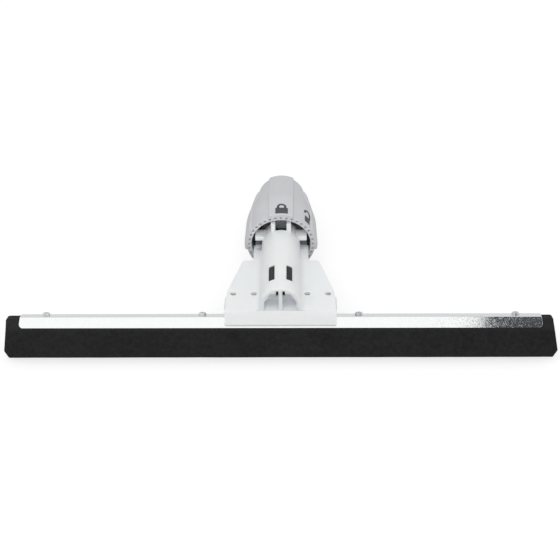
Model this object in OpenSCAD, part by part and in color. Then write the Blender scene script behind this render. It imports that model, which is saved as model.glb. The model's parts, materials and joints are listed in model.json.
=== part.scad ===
// Floor squeegee head: twin foam blades in a steel channel, a moulded socket bracket and a
// twist-lock collar that grips a plain round handle. Millimetres, +X along the blades, +Z up.
// The head lies as it does on a floor: on its rear blade tip and the underside of the collar.

/* [Blades] */
// Length of the blades at their widest
blade_length = 559; // [400:1:900]
// Thickness of one foam strip
strip_thickness = 6.5; // [4:0.5:12]
// Height of foam below the channel
blade_reach = 30.5; // [20:0.5:50]
// Slant of the blades' left end from upright, in degrees
left_end_slant = 4.2; // [0:0.1:12]
// Slant of the blades' right end from upright, in degrees
right_end_slant = 8.5; // [0:0.1:12]
// Width of the cut at a blade's lower corners
tip_cut_width = 5; // [0.5:0.5:10]
// Height of the cut at a blade's lower corners
tip_cut_height = 7; // [0.5:0.5:15]

/* [Channel] */
// Distance of the channel's ends inside the blades' ends, along its top
channel_inset = 16.7; // [10:0.1:40]
// Thickness of the channel's sheet
sheet = 1.2; // [0.8:0.1:2]
// Height of the channel's flanges
flange_height = 11.5; // [10:0.5:20]
// Outside radius of the channel's bends
bend_radius = 2; // [2:0.1:4]
// Slant of the channel's ends from upright, in degrees
channel_end_slant = 9; // [0:0.5:12]
// Radius of the flanges' lower corners
flange_corner = 4; // [1:0.5:6]

/* [Core bar] */
// Thickness of the bar between the strips
core_thickness = 6.6; // [5.5:0.1:12]
// Distance of the bar's ends inside the channel's ends
core_inset = 4; // [1:0.5:20]

/* [Channel screws] */
// Number of screws on each side of the bracket
screws_per_side = 2; // [2:1:5]
// Distance of the inner screws from the bracket's side
screw_inner_gap = 22.5; // [8:0.5:60]
// Distance of the outer screws from the channel's end
screw_outer_gap = 25.8; // [12:0.2:60]
// Shank diameter
channel_screw_d = 4; // [3:0.5:5]
// Head diameter
channel_screw_head_d = 7.7; // [6:0.1:10]
// Head height
channel_screw_head_h = 3.1; // [2:0.1:4]
// Shank length under the head
channel_screw_length = 9; // [6:0.5:11]

/* [Bracket] */
// Angle between the blades and the handle, in degrees
handle_angle = 60; // [50:1:70]
// Distance along the handle from the plate's lower edge to the collar's rim
plate_length = 103; // [98:1:140]
// Distance of the plate's face below the side slots
plate_lead = 0.2; // [0:0.1:1]
// Thickness of the plate, the sole and the lip
plate_thickness = 3; // [2:0.1:4]
// Half width of the plate at its lower edge
plate_half_width = 56.5; // [50:0.5:70]
// Distance that the plate's sides lean in up to their turn
plate_side_lean = 2.5; // [0:0.1:6]
// Half width of the plate at its upper edge
plate_top_half_width = 38.8; // [33:0.2:46]
// Gap between the tongue above the plate and the collar's mouth
tongue_gap = 0.7; // [0.5:0.1:3]
// Reach of the tongue past the collar's rim
tongue_reach = 5.8; // [2:0.1:9]
// Distance of the sides' turn from the plate's lower edge
plate_bend_rise = 32; // [20:1:45]
// Distance of the plate's upper edge below the collar's rim
plate_top_gap = 20; // [8:1:30]
// Radius of the plate's corners
plate_corner = 4; // [1:0.5:6]
// Height of the plate's lower edge above the channel
crease_rise = 6.5; // [5:0.5:10]
// Reach of the lip down the channel's front
lip_reach = 9.6; // [4:0.2:11]
// Radius of the lip's lower corners
lip_corner = 2; // [1:0.5:5]
// Rounding of the lip's lower front edge, as a share of its thickness
lip_round_share = 0.8; // [0.2:0.05:0.9]
// Thickness of the ribs under the plate
rib_thickness = 2.5; // [1.5:0.1:4]
// Number of ribs under the plate
rib_count = 6; // [2:1:8]
// Radius of the fillets between the tube and the plate
side_fillet_r = 6; // [2:0.5:9]

/* [Socket tube] */
// Diameter of the handle that the socket takes
handle_d = 28; // [24:0.1:32]
// Radial clearance of the handle in the tube
handle_clearance = 0.15; // [0.05:0.05:0.4]
// Wall of the sleeve inside the collar
sleeve_wall = 4.25; // [3.8:0.05:6]
// Step of the tube over the sleeve, at the collar
tube_step = 1.4; // [0.5:0.1:3]
// Growth of the tube's radius from the collar down to its lower end
tube_flare = 1.2; // [0.5:0.1:4]
// Wall of the tube's hollow lower end
arch_wall = 3; // [1.5:0.1:4]
// Thickness of the web in the hollow lower end
web_thickness = 4; // [2:0.5:6]
// Length of the hollow lower end
arch_length = 45; // [44:1:60]
// Height of the open pocket's flat top, as a share of the hollow's radius
pocket_top_share = 0.8; // [0.6:0.01:0.85]
// Half width of the open pocket, as a share of the hollow's radius
pocket_side_share = 0.9; // [0.7:0.01:0.92]
// Height at which the pocket's sides start to lean in, as a share of the hollow's radius
pocket_spring_share = 0.25; // [0:0.01:0.35]
// Half width of the pocket's flat top, as a share of the hollow's radius
pocket_shoulder_share = 0.56; // [0.4:0.01:0.58]
// Thickness of the bulkhead behind the pocket
bulkhead_thickness = 2; // [1.2:0.1:3]
// Width of the vents beside the web
vent_width = 2.6; // [1:0.1:4]
// Height of the vents in the bulkhead
vent_height = 7; // [3:0.5:9]
// Clearance round the stop plug behind the windows
plug_clearance = 0.3; // [0.2:0.05:0.6]
// Depth of the plug's lugs in the windows below the tube's surface
lug_sink = 0.8; // [0.3:0.1:2]
// Thickness of the stop that the handle's end meets
stop_thickness = 3; // [2:0.5:6]
// Distance of each window's near side from the middle
window_near = 6; // [4:0.1:7]
// Width of each window
window_width = 5.8; // [3:0.1:7]
// Distance of the windows' lower ends from the tube's lower end
window_start = 18; // [10:1:20]
// Length of each window
window_length = 24; // [10:1:24]
// Length of the sleeve above the collar's rim
sleeve_length = 86; // [80:1:110]
// Chamfer at the mouth that the handle enters
mouth_chamfer = 1; // [0.5:0.1:1.5]

/* [Jaws] */
// Width of a jaw
jaw_width = 11; // [8:0.1:12]
// Clearance of a jaw in its slot
jaw_clearance = 0.3; // [0.2:0.05:0.5]
// Length of a jaw
jaw_length = 44; // [30:1:54]
// Distance of the jaws from the collar's rim
jaw_start = 6; // [4:0.1:10]
// Length of a jaw's head
jaw_head_length = 5; // [4:0.1:12]
// Stock of a jaw's head round its pin
jaw_head_margin = 0.1; // [0:0.1:2]
// Travel of a jaw between locked and unlocked
jaw_travel = 2; // [1:0.1:3]
// Diameter of a jaw's drive pin
pin_d = 4; // [3:0.1:5]
// Thickness of a grip pad at its middle
grip_thickness = 1.5; // [1:0.1:2]
// Side margin of a grip pad in its jaw
grip_margin = 0.5; // [0.2:0.1:1.5]
// Thickness of a guide fin
fin_thickness = 4.6; // [2:0.1:6]
// Reach of the guide fins past the jaws' heads
fin_reach = 0.5; // [0:0.1:1]
// Start of the fins below the collar's rim
fin_start = 2; // [1:0.1:4]

/* [Lock collar] */
// Angle that the collar turns to unlock, in degrees
unlock_angle = 50; // [30:1:60]
// Width of the collar's rim
rim_width = 4.9; // [3:0.1:8]
// Wall of the collar's nose round the ring
nose_wall = 2.3; // [1.8:0.1:5]
// Distance of the shoulder, where the collar starts to taper, from the rim
shoulder = 33; // [26:1:45]
// Radius that rounds the shoulder
shoulder_radius = 60; // [20:1:90]
// Height of the top and bottom pads over the collar
pad_rise = 2.8; // [1.5:0.1:4]
// Height of the top and bottom pads at their nose end
pad_nose_rise = 2.3; // [0.4:0.1:3]
// Width of the pads
pad_width = 25.4; // [15:0.1:30]
// Distance of the top and bottom pads' ends from the collar's nose
pad_nose_gap = 0.8; // [0.8:0.1:20]
// Height of the side pads at the collar's rim
side_pad_rise = 2.4; // [1.5:0.1:4]
// Height of the side pads at the collar's shoulder
side_pad_waist = 0.9; // [0.5:0.1:3]
// Height of the side pads at their nose end
side_pad_nose_rise = 1.8; // [0.4:0.1:3]
// Distance of the side pads' ends from the collar's nose
side_pad_gap = 17; // [4:0.5:30]
// Angle that the side pads are turned up from the level of the handle, in degrees
side_pad_lift = 9.5; // [0:0.5:20]
// Wall of the collar's tapered part
collar_wall = 4.2; // [3:0.1:6]
// Running clearance of the collar on the sleeve
running_clearance = 0.08; // [0.03:0.01:0.1]
// Length of the bearing in the collar's nose
nose_bearing = 10; // [6:0.5:14]
// Rounding of the rim's outer edge
rim_corner = 1.2; // [0.4:0.1:2]
// Rounding of the nose's outer edge
nose_corner = 0.8; // [0.4:0.1:2]
// Number of dimples round the rim
dimple_count = 36; // [12:1:48]
// Diameter of a dimple
dimple_d = 2.4; // [1:0.1:2.6]
// Depth of a dimple
dimple_depth = 3; // [0.3:0.1:4]

/* [Cam plate] */
// Stock of the cam plate inside its slots
cam_inner_rim = 1.2; // [0.8:0.1:3]
// Stock of the cam plate outside its slots
cam_outer_rim = 2.1; // [1:0.1:4]
// Thickness of the cam plate
cam_thickness = 4; // [2:0.1:6]
// Width of the collar's step that the cam plate seats on
cam_seat = 2; // [1:0.1:3]
// Side clearance of a pin in its cam slot
pin_clearance = 0.3; // [0.1:0.05:0.4]
// End play of the collar on the sleeve
end_play = 0.3; // [0.2:0.05:0.5]

/* [Retaining ring] */
// Depth of the ring's groove in the sleeve
groove_depth = 1.3; // [0.8:0.1:1.8]
// Thickness of the ring
ring_thickness = 1.5; // [1:0.1:2.2]
// Reach of the ring past the sleeve
ring_reach = 2.2; // [1.2:0.1:4]
// Gap between the ring's ends
ring_gap = 8; // [4:0.5:14]
// Depth of the ring below the sleeve's end
ring_depth = 1.8; // [1.5:0.1:3]

/* [Clamp bar] */
// Distance of the clamp screws behind the channel's top rear corner
clamp_back = 9.6; // [8:0.1:14]
// Distance of the inner screws from the tube
clamp_tube_margin = 6; // [5:0.5:9]
// Distance of the outer screws from the plate's side
clamp_side_margin = 6; // [5:0.5:10]
// Height of the bar along its screws
bar_height = 9; // [6:0.5:12]
// Reach of the bar behind its screws
bar_back = 9; // [5:0.5:12]
// Distance of the outer screws from the bar's ends
bar_end = 5; // [4.5:0.5:9]
// Diameter of the bosses round the screws
boss_d = 8; // [7:0.5:9]
// Shank diameter of a clamp screw
clamp_screw_d = 3; // [2.5:0.1:3.5]
// Head diameter of a clamp screw
clamp_head_d = 5.5; // [5:0.1:6]
// Head height of a clamp screw
clamp_head_h = 2; // [1.5:0.1:2.5]
// Depth of the heads below the plate's face
clamp_head_sink = 1; // [0.4:0.1:1.5]
// Reach of the screws' tips past their nuts
clamp_tip = 3; // [1:0.5:6]
// Clearance round the screws in their holes
screw_clearance = 0.1; // [0.05:0.05:0.3]
// Width of a nut across its flats
nut_flats = 5.5; // [5:0.1:7]
// Thickness of a nut
nut_h = 2.4; // [1.8:0.1:3.2]

/* [Hidden] */
$fn = 64;
// Overlap of joined shapes and reach of cutting shapes past a face
eps = 0.5;
// Steps on a rounded corner and on a cam slot's side
corner_steps = 8;
spiral_steps = 20;

// Blade frame: y back from the channel's front face, z up from the blades' tip
channel_length = blade_length - 2 * channel_inset;
channel_depth = 2 * sheet + 2 * strip_thickness + core_thickness;
inner_bend = bend_radius - sheet;
channel_top = blade_reach + flange_height;
strip_top = channel_top - sheet;
front_strip_y = sheet;
core_y = front_strip_y + strip_thickness;
rear_strip_y = core_y + core_thickness;
rear_tip_y = rear_strip_y + strip_thickness;
core_half_length = channel_length / 2 - core_inset;
screw_inner_x = plate_half_width + screw_inner_gap;
screw_outer_x = channel_length / 2 - screw_outer_gap;
screw_xs = [for (side = [-1, 1], i = [0:screws_per_side - 1])
    side * (screw_inner_x + i * (screw_outer_x - screw_inner_x) / (screws_per_side - 1))];

// Radii of the socket, outwards from the handle
bore_r = handle_d / 2 + handle_clearance;
sleeve_r = bore_r + sleeve_wall;
tube_top_r = sleeve_r + tube_step;
tube_r = tube_top_r + tube_flare;
shoe_inner_r = handle_d / 2 + grip_thickness;
shoe_outer_r = sleeve_r - jaw_clearance;
cam_inner_r = shoe_outer_r + jaw_travel + jaw_clearance;
cam_slot_half = pin_d / 2 + pin_clearance;
pin_r = cam_inner_r + cam_inner_rim + cam_slot_half;
cam_outer_r = pin_r + jaw_travel + cam_slot_half + cam_outer_rim;
jaw_head_r = pin_r + pin_d / 2 + jaw_head_margin;
fin_r = jaw_head_r + fin_reach;
mouth_r = cam_outer_r + screw_clearance;
collar_r = mouth_r + rim_width;
nose_bore_r = sleeve_r + running_clearance;
ring_inner_r = sleeve_r - groove_depth;
ring_r = sleeve_r + ring_reach;
ring_recess_r = ring_r + end_play;
nose_r = ring_recess_r + nose_wall;

// Distances along the handle from the collar's rim
tube_start = -plate_length + eps;
arch_end = tube_start + arch_length;
bore_start = arch_end + stop_thickness;
bulkhead_end = tube_start + window_start;
bulkhead_start = bulkhead_end - bulkhead_thickness;
window_sides = [-window_near - window_width, window_near];
slot_start = -fin_start + jaw_clearance;
slot_end = jaw_start + jaw_length + jaw_clearance;
fin_end = jaw_start + jaw_head_length;
cam_start = fin_end + end_play;
cam_end = cam_start + cam_thickness;
ring_end = sleeve_length - ring_depth;
ring_start = ring_end - ring_thickness;
nose_floor = ring_start - end_play;
nose_throat = nose_floor - nose_bearing;

// Plate under the tube, and the jaws' slots
slot_half = jaw_width / 2 + jaw_clearance;
plate_drop = slot_half + plate_lead;
plate_under = plate_drop + plate_thickness;
tongue_half_width = sqrt(pow(mouth_r - tongue_gap, 2) - pow(plate_under, 2));
plate_bend_half_width = plate_half_width - plate_side_lean;

// Socket frame: z along the handle from the collar's rim, -y towards the top of the socket
along = [sin(handle_angle), cos(handle_angle)];
above = [-cos(handle_angle), sin(handle_angle)];
crease = [-plate_thickness, channel_top + crease_rise];
rim_centre = crease + plate_length * along + plate_drop * above;
rear_corner = [channel_depth, channel_top] - rim_centre;

// Clamp screws and their bar
clamp_s = rear_corner * along + clamp_back;
clamp_inner_x = tube_r + clamp_tube_margin;
clamp_outer_x = plate_bend_half_width - clamp_side_margin;
clamp_xs = [-clamp_outer_x, -clamp_inner_x, clamp_inner_x, clamp_outer_x];
bar_top_drop = -rear_corner * above;
bar_bottom_drop = bar_top_drop + bar_height;
counterbore_drop = plate_drop + clamp_head_sink + clamp_head_h;
clamp_screw_length = bar_bottom_drop + nut_h + clamp_tip - counterbore_drop;
clamp_hole_d = clamp_screw_d + 2 * screw_clearance;

// Angles of the four jaws about the handle, with the right one at 0
right = 0;
bottom = 90;
left = 180;
top = 270;
clock = [right, bottom, left, top];

function unit(v) = v / norm(v);

// Outside radius of the tube at a distance along the handle
function tube_r_at(s) = tube_top_r + tube_flare * (s + fin_start) / (tube_start + fin_start);

// Radius inside the wall of the tube's lower end at a distance along the handle
function hollow_r_at(s) = tube_r_at(s) - arch_wall;

// Outside radius of the collar's taper at a distance from the rim
function taper_r_at(s) = collar_r + (nose_r - collar_r) * (s - shoulder) / (sleeve_length - shoulder);

// Arc that rounds the corner at p between the points before and after it
function arc_corner(before, p, after, r) =
    let (d1 = unit(before - p), d2 = unit(after - p),
         half = acos(d1 * d2) / 2,
         from = p + d1 * r / tan(half),
         to = p + d2 * r / tan(half),
         centre = p + unit(d1 + d2) * r / sin(half),
         a0 = atan2(from[1] - centre[1], from[0] - centre[0]),
         turn = atan2(to[1] - centre[1], to[0] - centre[0]) - a0,
         sweep = turn > 180 ? turn - 360 : turn < -180 ? turn + 360 : turn)
    [for (i = [0:corner_steps])
        centre + r * [cos(a0 + sweep * i / corner_steps), sin(a0 + sweep * i / corner_steps)]];

// Closed outline with the corner at each point rounded by its radius, or sharp where that is 0
function rounded(points, radii) =
    let (n = len(points))
    [for (i = [0:n - 1])
        each radii[i] > 0
            ? arc_corner(points[(i + n - 1) % n], points[i], points[(i + 1) % n], radii[i])
            : [points[i]]];

// Pad profile from its heights at the rim, the shoulder and its nose end, a gap away from the nose
function pad_profile(rim_rise, waist_rise, nose_rise, gap) =
    let (end = sleeve_length - gap)
    rounded([[nose_bore_r, 0], [collar_r + rim_rise, 0], [collar_r + waist_rise, shoulder],
             [taper_r_at(end) + nose_rise, end], [nose_bore_r, end]],
            [0, rim_corner, shoulder_radius, 0, 0]);

// Collar and pad profiles as radius and distance from the rim
collar_outline = rounded(
    [[nose_bore_r, 0], [collar_r, 0], [collar_r, shoulder],
     [nose_r, sleeve_length], [nose_bore_r, sleeve_length]],
    [0, rim_corner, shoulder_radius, nose_corner, 0]);
pad_outline = pad_profile(pad_rise, pad_rise, pad_nose_rise, pad_nose_gap);
side_pad_outline = pad_profile(side_pad_rise, side_pad_waist, side_pad_nose_rise, side_pad_gap);

// Floor that touches the rear blade tip and the underside of the bottom pad
pad_floor_angles = [for (p = pad_outline)
    let (q = rim_centre + p[1] * along - p[0] * above)
    atan2(q[1], q[0] - rear_tip_y)];
floor_angle = min(pad_floor_angles);
floor_dir = [cos(floor_angle), sin(floor_angle)];
back_reach = max([for (p = collar_outline)
    (rim_centre + p[1] * along + p[0] * above - [rear_tip_y, 0]) * floor_dir]);
front_reach = [front_strip_y - rear_tip_y, 0] * floor_dir;
centre_y = (back_reach + front_reach) / 2;

// Lays the blade frame down on the floor, centred on the origin
module at_rest() {
    translate([0, -centre_y, 0])
        rotate([-floor_angle, 0, 0])
            translate([0, -rear_tip_y, 0])
                children();
}

// Places the socket frame in the blade frame
module in_socket() {
    translate([0, rim_centre[0], rim_centre[1]])
        rotate([-handle_angle, 0, 0])
            children();
}

// Extrudes an outline drawn in y and z along x, centred
module along_x(width) {
    rotate([90, 0, 90])
        linear_extrude(width, center = true)
            children();
}

// Extrudes an outline drawn in x and z along y, from y to y + depth
module along_y(y, depth) {
    translate([0, y + depth, 0])
        rotate([90, 0, 0])
            linear_extrude(depth)
                children();
}

// Turns a shape that is drawn upwards so that it runs down from the plate at each clamp screw
module at_clamp_screws(drop) {
    for (x = clamp_xs)
        translate([x, drop, clamp_s])
            rotate([-90, 0, 0])
                children();
}

// Tube along z between two distances
module tube(outer_r, inner_r, from, to) {
    difference() {
        translate([0, 0, from])
            cylinder(r = outer_r, h = to - from);
        translate([0, 0, from - eps])
            cylinder(r = inner_r, h = to - from + 2 * eps);
    }
}

// Box in the socket frame given by its radial, sideways and axial limits, turned to an angle
module radial_box(angle, r0, r1, t0, t1, s0, s1) {
    rotate([0, 0, angle])
        translate([r0, t0, s0])
            cube([r1 - r0, t1 - t0, s1 - s0]);
}

// Outline of a foam strip seen from the front, with slanted ends and cut corners
module strip_outline() {
    half = blade_length / 2;
    high = strip_top + eps;
    left_high = half - (high - tip_cut_height) * tan(left_end_slant);
    right_high = half - (high - tip_cut_height) * tan(right_end_slant);
    polygon([[-left_high, high], [-half, tip_cut_height], [-half + tip_cut_width, 0],
             [half - tip_cut_width, 0], [half, tip_cut_height], [right_high, high]]);
}

// Foam strip whose front face is at y, with its top edges rounded to fit the channel's bend
module foam_strip(y, front_round, back_round) {
    back = y + strip_thickness;
    intersection() {
        along_y(y - eps, strip_thickness + 2 * eps)
            strip_outline();
        along_x(blade_length + 2 * eps)
            polygon(rounded([[y, -eps], [y, strip_top], [back, strip_top], [back, -eps]],
                            [0, front_round, back_round, 0]));
    }
}

module front_blade() {
    color([0.16, 0.16, 0.17])
        at_rest()
            foam_strip(front_strip_y, inner_bend, 0);
}

module rear_blade() {
    color([0.14, 0.14, 0.15])
        at_rest()
            foam_strip(rear_strip_y, 0, inner_bend);
}

// Holes for the channel screws between two heights
module channel_screw_holes(from, to) {
    for (x = screw_xs)
        translate([x, channel_depth / 2, from])
            cylinder(d = channel_screw_d + 2 * screw_clearance, h = to - from);
}

module core_bar() {
    color([0.72, 0.73, 0.75])
        at_rest()
            difference() {
                translate([-core_half_length, core_y, blade_reach])
                    cube([2 * core_half_length, core_thickness, strip_top - blade_reach]);
                channel_screw_holes(channel_top - channel_screw_length - eps, channel_top);
            }
}

// Bent section of the channel, open downwards
module channel_section() {
    difference() {
        polygon(rounded([[0, blade_reach], [0, channel_top],
                         [channel_depth, channel_top], [channel_depth, blade_reach]],
                        [0, bend_radius, bend_radius, 0]));
        polygon(rounded([[sheet, blade_reach - eps], [sheet, strip_top],
                         [channel_depth - sheet, strip_top],
                         [channel_depth - sheet, blade_reach - eps]],
                        [0, inner_bend, inner_bend, 0]));
    }
}

module channel() {
    half_top = channel_length / 2;
    half_low = half_top + flange_height * tan(channel_end_slant);
    color([0.86, 0.87, 0.88])
        at_rest()
            difference() {
                intersection() {
                    along_x(2 * half_low + 2 * eps)
                        channel_section();
                    along_y(-eps, channel_depth + 2 * eps)
                        polygon(rounded([[-half_top, channel_top], [half_top, channel_top],
                                         [half_low, blade_reach], [-half_low, blade_reach]],
                                        [0, 0, flange_corner, flange_corner]));
                }
                channel_screw_holes(strip_top - eps, channel_top + eps);
            }
}

// Pan head with a rounded top and a cross recess, standing on z = 0
module pan_head(d, h) {
    recess_w = d / 7;
    recess_l = d / 2;
    crown = h * 2 / 3;
    difference() {
        rotate_extrude()
            polygon(rounded([[0, 0], [d / 2, 0], [d / 2, h], [0, h]], [0, 0, crown, 0]));
        for (turn = [0, 90])
            rotate([0, 0, turn])
                translate([-recess_l / 2, -recess_w / 2, h / 2])
                    cube([recess_l, recess_w, h]);
    }
}

module channel_screws() {
    color([0.62, 0.63, 0.65])
        at_rest()
            for (x = screw_xs)
                translate([x, channel_depth / 2, channel_top]) {
                    pan_head(channel_screw_head_d, channel_screw_head_h);
                    translate([0, 0, -channel_screw_length])
                        cylinder(d = channel_screw_d, h = channel_screw_length + eps);
                }
}

// Outline of the plate in the socket frame, from its lower edge up to the tongue
module plate_outline() {
    low = -plate_length;
    bend = low + plate_bend_rise;
    high = -plate_top_gap;
    tongue_corner = plate_corner / 4;
    half = rounded([[0, low], [plate_half_width, low], [plate_bend_half_width, bend],
                    [plate_top_half_width, high], [tongue_half_width, high],
                    [tongue_half_width, tongue_reach], [0, tongue_reach]],
                   [0, 0, 3 * plate_corner, plate_corner, tongue_corner, tongue_corner, 0]);
    polygon(half);
    mirror([1, 0])
        polygon(half);
}

// Lip that hangs over the channel's front face, rounded off along its lower front edge
module lip() {
    lip_bottom = channel_top - lip_reach;
    intersection() {
        along_y(-plate_thickness - eps, plate_thickness + 2 * eps)
            polygon(rounded([[-plate_half_width, crease[1]], [plate_half_width, crease[1]],
                             [plate_half_width, lip_bottom], [-plate_half_width, lip_bottom]],
                            [0, 0, lip_corner, lip_corner]));
        along_x(2 * plate_half_width + 2 * eps)
            polygon(rounded([[0, crease[1] + eps], [-plate_thickness, crease[1] + eps],
                             [-plate_thickness, lip_bottom], [0, lip_bottom]],
                            [0, 0, lip_round_share * plate_thickness, 0]));
    }
}

// Sole on the channel's top face, with the ribs between it and the plate
module sole_and_ribs() {
    sole_back = channel_depth - bend_radius;
    plate_low = crease - plate_thickness * above;
    rib_top = plate_low[1] + (sole_back - plate_low[0]) * along[1] / along[0];
    rib_span = 2 * plate_half_width - rib_thickness;
    translate([-plate_half_width, -eps, channel_top])
        cube([2 * plate_half_width, sole_back + eps, plate_thickness]);
    for (i = [0:rib_count - 1])
        translate([-rib_span / 2 + i * rib_span / (rib_count - 1), 0, 0])
            along_x(rib_thickness)
                polygon([[-eps, channel_top + eps], [sole_back, channel_top + eps],
                         [sole_back, rib_top + eps], [plate_low[0], plate_low[1] + eps]]);
}

// Fillet between the right side of the tube and the plate, following the tube's taper
module side_fillet() {
    foot = sqrt(pow(tube_r, 2) - pow(plate_drop, 2));
    run = -plate_top_gap - tube_start;
    end_r = tube_r_at(-plate_top_gap);
    lean = atan((foot - sqrt(pow(end_r, 2) - pow(plate_drop, 2))) / run);
    translate([foot, plate_drop, tube_start])
        rotate([0, -lean, 0])
            linear_extrude(run)
                difference() {
                    translate([-side_fillet_r, -side_fillet_r])
                        square([2 * side_fillet_r, side_fillet_r + eps]);
                    translate([side_fillet_r, -side_fillet_r])
                        circle(side_fillet_r);
                }
}

// Solid outside of the socket: tapered tube on its plate, sleeve, fins and bosses
module socket_outside() {
    tube_length = -fin_start - tube_start;
    difference() {
        translate([0, 0, tube_start])
            cylinder(r1 = tube_r, r2 = tube_top_r, h = tube_length);
        translate([-tube_r - eps, plate_under, tube_start - eps])
            cube([2 * (tube_r + eps), tube_r, arch_length + eps]);
    }
    translate([0, 0, -fin_start - eps])
        cylinder(r = sleeve_r, h = sleeve_length + fin_start + eps);
    for (angle = clock, side = [-slot_half - fin_thickness, slot_half])
        radial_box(angle, bore_r + eps, fin_r, side, side + fin_thickness, -fin_start, fin_end);
    along_y(plate_drop, plate_thickness)
        plate_outline();
    side_fillet();
    mirror([1, 0, 0])
        side_fillet();
    at_clamp_screws(plate_under - eps)
        cylinder(d = boss_d, h = bar_top_drop - plate_under + eps);
}

// Open pocket in the tube's lower end on one side of its web, with the vent behind it
module pocket() {
    near = web_thickness / 2;
    hollow = hollow_r_at(tube_start);
    shoulder_x = pocket_shoulder_share * hollow;
    top_y = -pocket_top_share * hollow;
    side_x = pocket_side_share * hollow;
    translate([0, 0, tube_start - eps])
        linear_extrude(bulkhead_start - tube_start + eps) {
            polygon([[near, plate_drop], [side_x, plate_drop], [side_x, -pocket_spring_share * hollow],
                     [shoulder_x, top_y], [near, top_y]]);
            translate([near, -hollow])
                square([vent_width, hollow]);
        }
    translate([near, -vent_height, bulkhead_start - eps])
        cube([vent_width, vent_height, bulkhead_thickness + 2 * eps]);
}

// Chamber behind the bulkhead for the stop plug, with a gap under the tube's wall
module plug_chamber(gap) {
    depth = arch_end - bulkhead_end;
    intersection() {
        translate([0, 0, bulkhead_end])
            cylinder(r1 = hollow_r_at(bulkhead_end) - gap, r2 = hollow_r_at(arch_end) - gap, h = depth);
        translate([-tube_r, -tube_r, bulkhead_end])
            cube([2 * tube_r, tube_r + plate_drop, depth]);
    }
}

// Everything that is cut from the socket: pockets, plug chamber, bore, windows, slots, groove and holes
module socket_cuts() {
    pocket();
    mirror([1, 0, 0])
        pocket();
    plug_chamber(0);
    translate([0, 0, bore_start])
        cylinder(r = bore_r, h = sleeve_length - bore_start + eps);
    translate([0, 0, sleeve_length - mouth_chamfer])
        cylinder(r1 = bore_r, r2 = bore_r + 2 * mouth_chamfer, h = 2 * mouth_chamfer);
    for (side = window_sides)
        translate([side, -tube_r - eps, bulkhead_end])
            cube([window_width, tube_r, window_length]);
    for (angle = clock)
        radial_box(angle, 0, fin_r + eps, -slot_half, slot_half, slot_start, slot_end);
    tube(sleeve_r + eps, ring_inner_r, ring_start, ring_end);
    at_clamp_screws(plate_drop - eps) {
        cylinder(d = clamp_head_d + 4 * screw_clearance, h = counterbore_drop - plate_drop + eps);
        cylinder(d = clamp_hole_d, h = bar_top_drop);
    }
}

module socket_bracket() {
    color([0.91, 0.92, 0.93])
        at_rest() {
            lip();
            sole_and_ribs();
            in_socket()
                difference() {
                    socket_outside();
                    socket_cuts();
                }
        }
}

// Lug of the stop plug that fills one window, from the side of the window that is nearer -x
module plug_lug(side) {
    low = bulkhead_end + plug_clearance;
    depth = window_length - 2 * plug_clearance;
    intersection() {
        translate([0, 0, low])
            cylinder(r1 = tube_r_at(low) - lug_sink, r2 = tube_r_at(low + depth) - lug_sink, h = depth);
        translate([side + plug_clearance, -tube_r, low])
            cube([window_width - 2 * plug_clearance, tube_r, depth]);
    }
}

// Insert that the bracket is moulded round, with a lug in each window
module stop_plug() {
    color([0.24, 0.24, 0.25])
        at_rest()
            in_socket() {
                plug_chamber(plug_clearance);
                for (side = window_sides)
                    plug_lug(side);
            }
}

// Wedge bar behind the channel, drawn up by the clamp screws
module rear_clamp_bar() {
    half_width = clamp_outer_x + bar_end;
    color([0.55, 0.56, 0.58])
        at_rest()
            difference() {
                in_socket()
                    difference() {
                        translate([-half_width, bar_top_drop, -plate_length])
                            cube([2 * half_width, bar_height, plate_length + clamp_s + bar_back]);
                        at_clamp_screws(bar_top_drop - eps)
                            cylinder(d = clamp_hole_d, h = bar_height + 2 * eps);
                    }
                translate([-half_width - eps, channel_depth - 2 * channel_top, 0])
                    cube([2 * (half_width + eps), 2 * channel_top, 2 * channel_top]);
            }
}

module clamp_screws() {
    slot_w = clamp_head_d / 5;
    color([0.66, 0.67, 0.69])
        at_rest()
            in_socket()
                at_clamp_screws(counterbore_drop) {
                    difference() {
                        translate([0, 0, -clamp_head_h])
                            cylinder(d = clamp_head_d, h = clamp_head_h);
                        translate([-clamp_head_d, -slot_w / 2, -clamp_head_h - eps])
                            cube([2 * clamp_head_d, slot_w, clamp_head_h / 2 + eps]);
                    }
                    translate([0, 0, -eps])
                        cylinder(d = clamp_screw_d, h = clamp_screw_length + eps);
                }
}

module clamp_nuts() {
    color([0.66, 0.67, 0.69])
        at_rest()
            in_socket()
                at_clamp_screws(bar_bottom_drop)
                    difference() {
                        cylinder(d = nut_flats / cos(30), h = nut_h, $fn = 6);
                        translate([0, 0, -eps])
                            cylinder(d = clamp_hole_d, h = nut_h + 2 * eps);
                    }
}

// Cavity of the collar: mouth with the cam plate's seat, chamber, bearing and ring recess
module collar_cavity() {
    chamber_r = mouth_r - cam_seat;
    throat_r = taper_r_at(nose_throat) - collar_wall;
    rotate_extrude()
        polygon([[0, -eps], [mouth_r, -eps], [mouth_r, cam_end], [chamber_r, cam_end],
                 [chamber_r, shoulder], [throat_r, nose_throat],
                 [nose_bore_r, nose_throat], [nose_bore_r, nose_floor],
                 [ring_recess_r, nose_floor], [ring_recess_r, sleeve_length + eps],
                 [0, sleeve_length + eps]]);
}

// Dimples round the rim's face
module rim_dimples() {
    for (i = [0:dimple_count - 1])
        rotate([0, 0, i * 360 / dimple_count])
            translate([mouth_r + rim_width / 2, 0, -eps])
                cylinder(d = dimple_d, h = dimple_depth + eps);
}

// Raised pad on the collar with level sides, centred at an angle about the handle
module raised_pad(angle, outline) {
    reach = max([for (p = outline) p[0]]) + eps;
    intersection() {
        rotate_extrude()
            polygon(outline);
        radial_box(angle, nose_bore_r, reach, -pad_width / 2, pad_width / 2, 0, sleeve_length);
    }
}

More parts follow.
